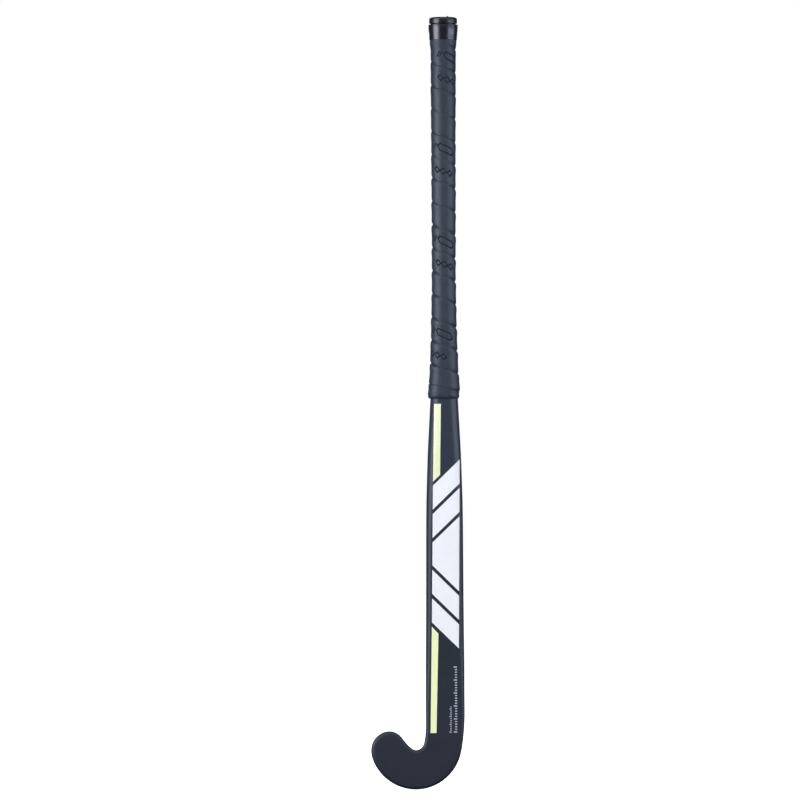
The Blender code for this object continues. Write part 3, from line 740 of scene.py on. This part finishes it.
def motif_depth(along, across):
    """1 on the pressed outlines, 0 elsewhere; the same shapes as the colour."""
    def local(centre):
        return np.mod(along - centre + PERIOD / 2, PERIOD) - PERIOD / 2

    def line(f, width):
        t = np.clip((width - np.abs(f)) / (0.6 * width), 0, 1)
        return t * t * (3 - 2 * t)

    x, v = local(0.0), across
    tilt = np.abs(v + 0.16 * x)
    end = 0.80 * (np.abs(x - 3.0) - 10.0) + 0.60 * tilt
    out = line(np.maximum(tilt - 4.0, end), 0.95)
    for at in (10.6, 13.4):
        out = np.maximum(out, line(x + at - 0.5 * v, 0.85) * (np.abs(v) < 3.8))
    y = local(TURN_LENGTH)
    for at in (-7.8, 0.0, 7.8):
        out = np.maximum(out, line((np.abs(y - at) + np.abs(v) - 3.5) * 0.72, 0.9))
    return out


def end_top(theta):
    """Upper edge of the level last turn: it slopes down to the heel side."""
    return 481.8 - 4.6 * np.sin(theta)


def strip_columns():
    """Turn values along the strip: coarse, with fine runs over the outlines."""
    start = (SEAM_AT - GRIP_TOP) / PITCH - 1.0
    stop = (SEAM_AT - 455.0) / PITCH
    out = [start]
    while out[-1] < stop:
        t = out[-1]
        fine = False
        for first, lead, tail in ((1.0, 0.19, 0.17), (2.0, 0.14, 0.15)):
            k = round((t - first) / 4.0)
            near = t - (first + 4.0 * k)
            drift = 0.16 if t > 4.0 else 0.0
            if -lead - drift < near < tail:
                fine = True
        out.append(t + (0.50 / TURN_LENGTH if fine else 1 / 48))
    return out


def build_grip():
    cols = []
    for turns in strip_columns():
        high, low = float(seam_height(turns)), float(seam_height(turns + 1))
        if low > GRIP_TOP - 0.8:
            continue
        if high - low < 3.0:
            break
        cols.append((turns, high, low))
    rows_at = [p[0] for p in STRIP if p[0] < 3.0]
    rows_at += list(np.arange(3.3, 24.6, 0.52)) + [p[0] for p in STRIP if p[0] > 25.0]
    n = len(rows_at)
    across = np.array(rows_at) / PITCH
    height = np.interp(rows_at, [p[0] for p in STRIP], [p[1] for p in STRIP])
    turns = np.array([c[0] for c in cols])[:, None]
    high = np.array([c[1] for c in cols])[:, None]
    low = np.array([c[2] for c in cols])[:, None]
    theta = 2 * math.pi * turns + 0 * across[None, :]
    wander = np.array([[0.45 * noise.noise(Vector((c[0] * 2.1, 7.3, 1.0)))] for c in cols])
    z = high - (high - low) * across[None, :]
    squeeze = (high - low) / PITCH
    z = z + wander * (squeeze > 0.5)
    top = np.minimum(z, GRIP_TOP)
    uneven = ripple(theta, top, 1.3, 0.045, 3.7)
    deep = (0.34 + 0.95 * np.sin(theta) ** 2) * (1.0 + 0.6 * ripple(theta, top, 0.9, 0.03, 9.1))
    grow = table(GRIP_HALF, top) - half_width(top)
    h = height[None, :] * np.where(height[None, :] < 0, deep, 1.0) * (0.35 + 0.65 * squeeze)
    below, above = np.array(rows_at)[None, :], PITCH - np.array(rows_at)[None, :]
    hollow = np.exp(-(below / 1.9) ** 2) + np.exp(-(above / 1.6) ** 2)
    bulge = np.exp(-((below - 6.0) / 3.6) ** 2)
    vary = 1.0 + 1.3 * ripple(theta, top, 0.7, 0.035, 2.2)
    calm = 0.45 + 0.55 * np.clip((790.0 - top) / 70.0, 0, 1)
    h = h + calm * np.sin(theta) ** 2 * (0.30 * bulge - 0.95 * hollow * vary) * squeeze
    under = np.clip((top - 893.0) / 5.0, 0, 1)
    across_mm = (0.5 - across[None, :]) * PITCH + 0 * turns
    # true length along the middle of the strip, so that the outlines drift
    # round the handle where it gets thicker
    line = wrap(theta, top, grow)[:, n // 2]
    steps = np.sqrt(((line[1:] - line[:-1]) ** 2).sum(1))
    along = np.concatenate([[0.0], np.cumsum(steps)])
    one = np.interp(1.0, turns[:, 0], along)
    back = np.interp(-3.0, turns[:, 0], along)
    along = ((along - one) * (4 * TURN_LENGTH / (one - back)))[:, None] + 0 * across[None, :]
    pressed = motif_depth(along, across_mm)
    tuck = np.clip((end_top(theta) - 0.2 - top) / 1.0, 0, 1)      # under the level turn
    outer = wrap(theta, top, grow + h * (1 - under) + 0.16 * uneven * (1 - under) - 0.35 * under
                 - 0.38 * pressed - 1.3 * tuck)
    inner_cols = [0, n // 2, n - 1]
    inner = wrap(theta[:, inner_cols], top[:, inner_cols], grow[:, inner_cols] - 2.9)
    # mask of painted shade in the seam valleys; the hidden inner faces get full shade
    groove = np.clip(-(height[None, :] + 0.16) / 0.45, 0, 1) * np.ones_like(turns)
    strip = np.stack([along, across_mm, 0 * theta], -1)
    ring = np.concatenate([outer, inner[:, ::-1]], 1)
    gr = np.concatenate([groove, np.ones((len(cols), 3))], 1)
    st = np.concatenate([strip, strip[:, inner_cols][:, ::-1]], 1)
    rows, m = ring.shape[0], ring.shape[1]
    faces = grid_faces(rows, m)
    faces.append(tuple(range(m)))
    faces.append(tuple((rows - 1) * m + j for j in range(m)))
    return piece("grip_strip", world(ring.reshape(-1, 3)), faces, [GRIP],
                 ["grip_tape"], 70.0,
                 {"strip": st.reshape(-1, 3), "groove": gr.reshape(-1)})


build_grip()


def turned(name, profile, mat, nodes, per_turn=96, closed=True, tweak=None, angle=40.0,
           attributes=None):
    """Sleeve from a (height, growth) profile run round the handle's section."""
    theta = np.arange(per_turn) * 2 * math.pi / per_turn
    z = np.array([p[0] for p in profile])[:, None] + 0 * theta[None, :]
    g = np.array([p[1] for p in profile])[:, None] + 0 * theta[None, :]
    th = theta[None, :] + 0 * z
    if tweak is not None:
        z, g = tweak(th, z, g)
    pts = wrap(th, z, g)
    rows = len(profile)
    faces = grid_faces(rows, per_turn)
    if closed:
        a = (rows - 1) * per_turn
        faces += [(a + j, a + (j + 1) % per_turn, (j + 1) % per_turn, j) for j in range(per_turn)]
    else:
        faces.append(tuple(range(per_turn)))
        faces.append(tuple((rows - 1) * per_turn + j for j in range(per_turn)))
    att = attributes(th, z, g) if attributes else None
    return piece(name, world(pts.reshape(-1, 3)), faces, [mat], nodes, angle, att)


def outside(z, half):
    return half - float(half_width(z))


def end_tweak(th, z, g):
    """Profile heights above 470 are shares of the way up to the sloping edge."""
    share = np.clip((z - 470.0) / 21.0, 0, 1)
    high = np.where(z > 470.0, 470.0 + share * (end_top(th) - 470.0), z)
    side = -np.sin(th)                       # +1 on the toe side
    low = np.clip((481.0 - high) / 5.0, 0, 1)
    g = g - np.where(z > 470.0, half_width(high) - half_width(z), 0.0)
    g = g + (0.70 * side * low + 0.12 * ripple(th, high, 1.1, 0.08, 5.5)) * (g > 0.8)
    return high, g


END_PROFILE = [
    (491.0, outside(491, 17.6)), (491.0, outside(491, 18.3)), (490.6, outside(490.6, 18.62)),
    (489.8, outside(489.8, 18.82)), (488.0, outside(488, 18.92)), (485.0, outside(485, 18.9)),
    (481.0, outside(481, 18.85)), (477.0, outside(477, 18.98)), (474.0, outside(474, 18.97)),
    (471.9, outside(471.9, 18.85)), (470.6, outside(470.6, 18.58)), (469.7, outside(469.7, 18.2)),
    (469.1, outside(469.1, 17.7)), (468.7, outside(468.7, 17.1)), (468.5, outside(468.5, 16.4)),
    (468.2, 0.12), (480.0, 0.12), (491.0, 0.12),
]
# its mask paints shade along the underside of the turn's lower edge
turned("grip_level_turn", END_PROFILE, GRIP, ["grip_end_wrap"], tweak=end_tweak,
       angle=60.0, attributes=lambda th, z, g: {
           "strip": np.stack([0 * z + 150.0, 0 * z + 60.0, 0 * z], -1).reshape(-1, 3),
           "groove": (np.clip((468.9 - z) / 0.6, 0, 1)).reshape(-1)})


# -------------------------------------------------- finishing tape and cap
def tape_tweak(th, z, g):
    g = g + (0.10 * ripple(th, z, 1.6, 0.16, 2.2) + 0.07 * np.sin(3 * th + z * 0.6)) * (g > 3.7)
    return z, g


TAPE_PROFILE = [
    (917.5, outside(917, 15.4)), (917.5, outside(917, 17.3)), (917.25, outside(917, 17.52)),
    (916.0, outside(916, 17.58)), (914.5, outside(914, 17.62)), (912.5, outside(912, 17.55)),
    (910.0, outside(910, 17.3)), (907.0, outside(907, 17.0)), (904.0, outside(904, 16.78)),
    (901.5, outside(901, 16.65)), (900.0, outside(900, 16.62)), (899.5, outside(899, 16.55)),
    (899.3, outside(899, 16.3)), (899.4, outside(899, 15.7)), (908.0, outside(908, 15.7)),
]
turned("finishing_band", TAPE_PROFILE, TAPE, ["finishing_tape"], per_turn=128,
       tweak=tape_tweak, angle=30.0)


def cap_ring_profile():
    half, corner = 16.8, 2.6
    out = [(TOP - 0.35, outside(TOP, 0.02)), (TOP - 0.35, outside(TOP, 5.0)),
           (TOP - 0.35, outside(TOP, 10.0))]
    for i in range(9):
        a = math.pi / 2 * i / 8
        out.append((TOP - 0.35 - corner * (1 - math.cos(a)) * 1.0,
                    outside(TOP, half - corner + corner * math.sin(a))))
    out += [(921.5, outside(922, 16.82)), (919.6, outside(920, 16.84)),
            (919.15, outside(919, 16.80)), (918.9, outside(919, 16.62)),
            (918.7, outside(918, 16.3)), (918.65, outside(918, 15.2)),
            (918.2, outside(918, 15.0)), (917.6, outside(917, 15.0)),
            (909.0, outside(909, 15.0)), (901.0, outside(901, 14.9)),
            (889.5, outside(889.5, 13.7)), (889.5, 0.10), (905.0, 0.10), (917.4, 0.10),
            (917.5, outside(917, 6.0)), (917.5, outside(917, 0.02))]
    return out


def build_cap():
    obj = turned("cap_moulding", cap_ring_profile(), CAP, ["butt_cap"],
                 per_turn=128, closed=False, angle=38.0)
    # moulding gate nub on top, joined into the cap
    bm = bmesh.new()
    bm.from_mesh(obj.data)
    prof = ((1.05, -0.3), (1.0, 0.35), (0.85, 0.85), (0.60, 1.25), (0.30, 1.40))
    rings = []
    for r, dz in prof:
        ring = []
        for k in range(20):
            a = 2 * math.pi * k / 20
            p = world((5.2 + r * math.cos(a), float(face_line(TOP)) + 5.5 + r * math.sin(a),
                       TOP - 0.25 + dz))
            ring.append(bm.verts.new(tuple(p)))
        rings.append(ring)
    for a, b in zip(rings[:-1], rings[1:]):
        for k in range(20):
            bm.faces.new((a[k], a[(k + 1) % 20], b[(k + 1) % 20], b[k]))
    bm.faces.new(rings[-1])
    bm.faces.new(rings[0][::-1])
    bmesh.ops.recalc_face_normals(bm, faces=bm.faces)
    bm.to_mesh(obj.data)
    bm.free()
    smooth(obj.data, 38.0)


build_cap()

# ----------------------------------------------- pieces carried over from CAD
HIDDEN = {
    "inner_tube_toe_side": weave_material("tube_ply", (0.018, 0.018, 0.020), (0.055, 0.055, 0.06), 0.45, 0.004),
    "inner_tube_heel_side": weave_material("tube_ply_b", (0.018, 0.018, 0.020), (0.055, 0.055, 0.06), 0.45, 0.004),
    "head_core": plain_material("core_foam", (0.42, 0.36, 0.22), (0.52, 0.46, 0.30), 0.85, 900.0),
    "head_face_plies": weave_material("aramid_cloth", (0.40, 0.28, 0.05), (0.62, 0.48, 0.12), 0.6, 0.003),
    "handle_plug": plain_material("plug_foam", (0.06, 0.06, 0.065), (0.09, 0.09, 0.095), 0.88, 1200.0),
    "grip_underlay": plain_material("underlay_foam", (0.03, 0.03, 0.033), (0.045, 0.045, 0.05), 0.85, 1500.0),
}
for name, mat in HIDDEN.items():
    obj = frame["nodes"][name]
    obj.data.materials.clear()
    obj.data.materials.append(mat)

# ------------------------------------------------------------------- studio
scene = bpy.context.scene
scene.view_settings.view_transform = "Standard"
scene.view_settings.look = "None"
scene.view_settings.exposure = 0.0
scene.view_settings.gamma = 1.0

wd = bpy.data.worlds.new("studio")
scene.world = wd
wd.use_nodes = True
nt = wd.node_tree
nt.nodes.clear()
out = nt.nodes.new("ShaderNodeOutputWorld")
seen = nt.nodes.new("ShaderNodeBackground")
seen.inputs[0].default_value = (1, 1, 1, 1)
seen.inputs[1].default_value = 1.0
fill = nt.nodes.new("ShaderNodeBackground")
fill.inputs[0].default_value = (0.80, 0.86, 1.0, 1)
fill.inputs[1].default_value = 0.10
pick = nt.nodes.new("ShaderNodeLightPath")
mixer = nt.nodes.new("ShaderNodeMixShader")
nt.links.new(pick.outputs["Is Camera Ray"], mixer.inputs[0])
nt.links.new(fill.outputs[0], mixer.inputs[1])
nt.links.new(seen.outputs[0], mixer.inputs[2])
nt.links.new(mixer.outputs[0], out.inputs[0])


def softbox(name, azimuth, elevation, distance, width, tall, radiance, target, colour=(1, 1, 1)):
    """Area light; azimuth 0 is the viewer's side, positive to the right."""
    light = bpy.data.lights.new(name, "AREA")
    light.shape = "RECTANGLE"
    light.size, light.size_y = width, tall
    light.energy = radiance * math.pi * width * tall
    light.color = colour
    obj = bpy.data.objects.new(name, light)
    scene.collection.objects.link(obj)
    a, e = math.radians(azimuth), math.radians(elevation)
    pos = Vector(target) + distance * Vector((math.sin(a) * math.cos(e),
                                              -math.cos(a) * math.cos(e), math.sin(e)))
    obj.location = pos
    obj.rotation_euler = (Vector(target) - pos).to_track_quat("-Z", "Y").to_euler()
    return obj


MID = tuple(world((0.0, AXIS_Y, 463.0)))
LEFT_AT, RIGHT_AT = (MID[0], MID[1], 0.17), (MID[0], MID[1], 0.07)
LOW_AT = (MID[0], MID[1], -0.10)
softbox("softbox_left", -56, 0, 1.6, 1.25, 1.06, 5.9, LEFT_AT, (0.83, 0.855, 1.0))
softbox("softbox_right", 63, 0, 1.6, 1.75, 1.06, 1.6, RIGHT_AT, (0.75, 0.80, 1.0))
softbox("strip_left", -56, 0, 1.5, 1.10, 0.46, 5.3, LOW_AT, (0.83, 0.855, 1.0))
softbox("strip_right", 63, 0, 1.5, 1.55, 0.46, 5.0, LOW_AT, (0.75, 0.80, 1.0))
softbox("softbox_front", 0, 46, 3.0, 3.6, 2.2, 1.94, MID, (1.0, 1.0, 0.97))
softbox("softbox_back", 180, 25, 2.2, 1.2, 1.8, 2.0, MID, (1.0, 1.0, 1.0))

floor_z = float(world((0, 0, -1.0))[2])
bm = bmesh.new()
R, SIDES = 6.0, 96
vs = [bm.verts.new((R * math.cos(2 * math.pi * k / SIDES), R * math.sin(2 * math.pi * k / SIDES),
                    floor_z)) for k in range(SIDES)]
bm.faces.new(vs)
me = bpy.data.meshes.new("studio_floor")
bm.to_mesh(me)
bm.free()
floor = bpy.data.objects.new("studio_floor", me)
scene.collection.objects.link(floor)
fm = bpy.data.materials.new("pale_floor")
fm.use_nodes = True
p = fm.node_tree.nodes["Principled BSDF"]
p.inputs["Base Color"].default_value = (0.9, 0.9, 0.9, 1)
p.inputs["Roughness"].default_value = 0.9
p.inputs["Emission Color"].default_value = (1, 1, 1, 1)
p.inputs["Emission Strength"].default_value = 1.0
me.materials.append(fm)
floor.visible_glossy = False
floor.visible_diffuse = False
floor.visible_transmission = False

# ------------------------------------------------------------------- camera
cam = bpy.data.cameras.new("camera")
cam.sensor_width = 36.0
DISTANCE = 6.0
PX = 1.203                                   # mm a pixel at the stick
cam.lens = 36.0 * DISTANCE * 1000 / (800 * PX)
cam.clip_start, cam.clip_end = 0.1, 50.0
cam_obj = bpy.data.objects.new("camera", cam)
scene.collection.objects.link(cam_obj)
aim = world((-53.2, AXIS_Y, 467.2))
cam_obj.location = (aim[0], aim[1] - DISTANCE, aim[2])
cam_obj.rotation_euler = (math.pi / 2, 0.0, 0.0)
cam_obj.rotation_euler.rotate_axis("Z", math.radians(-0.186))
scene.camera = cam_obj
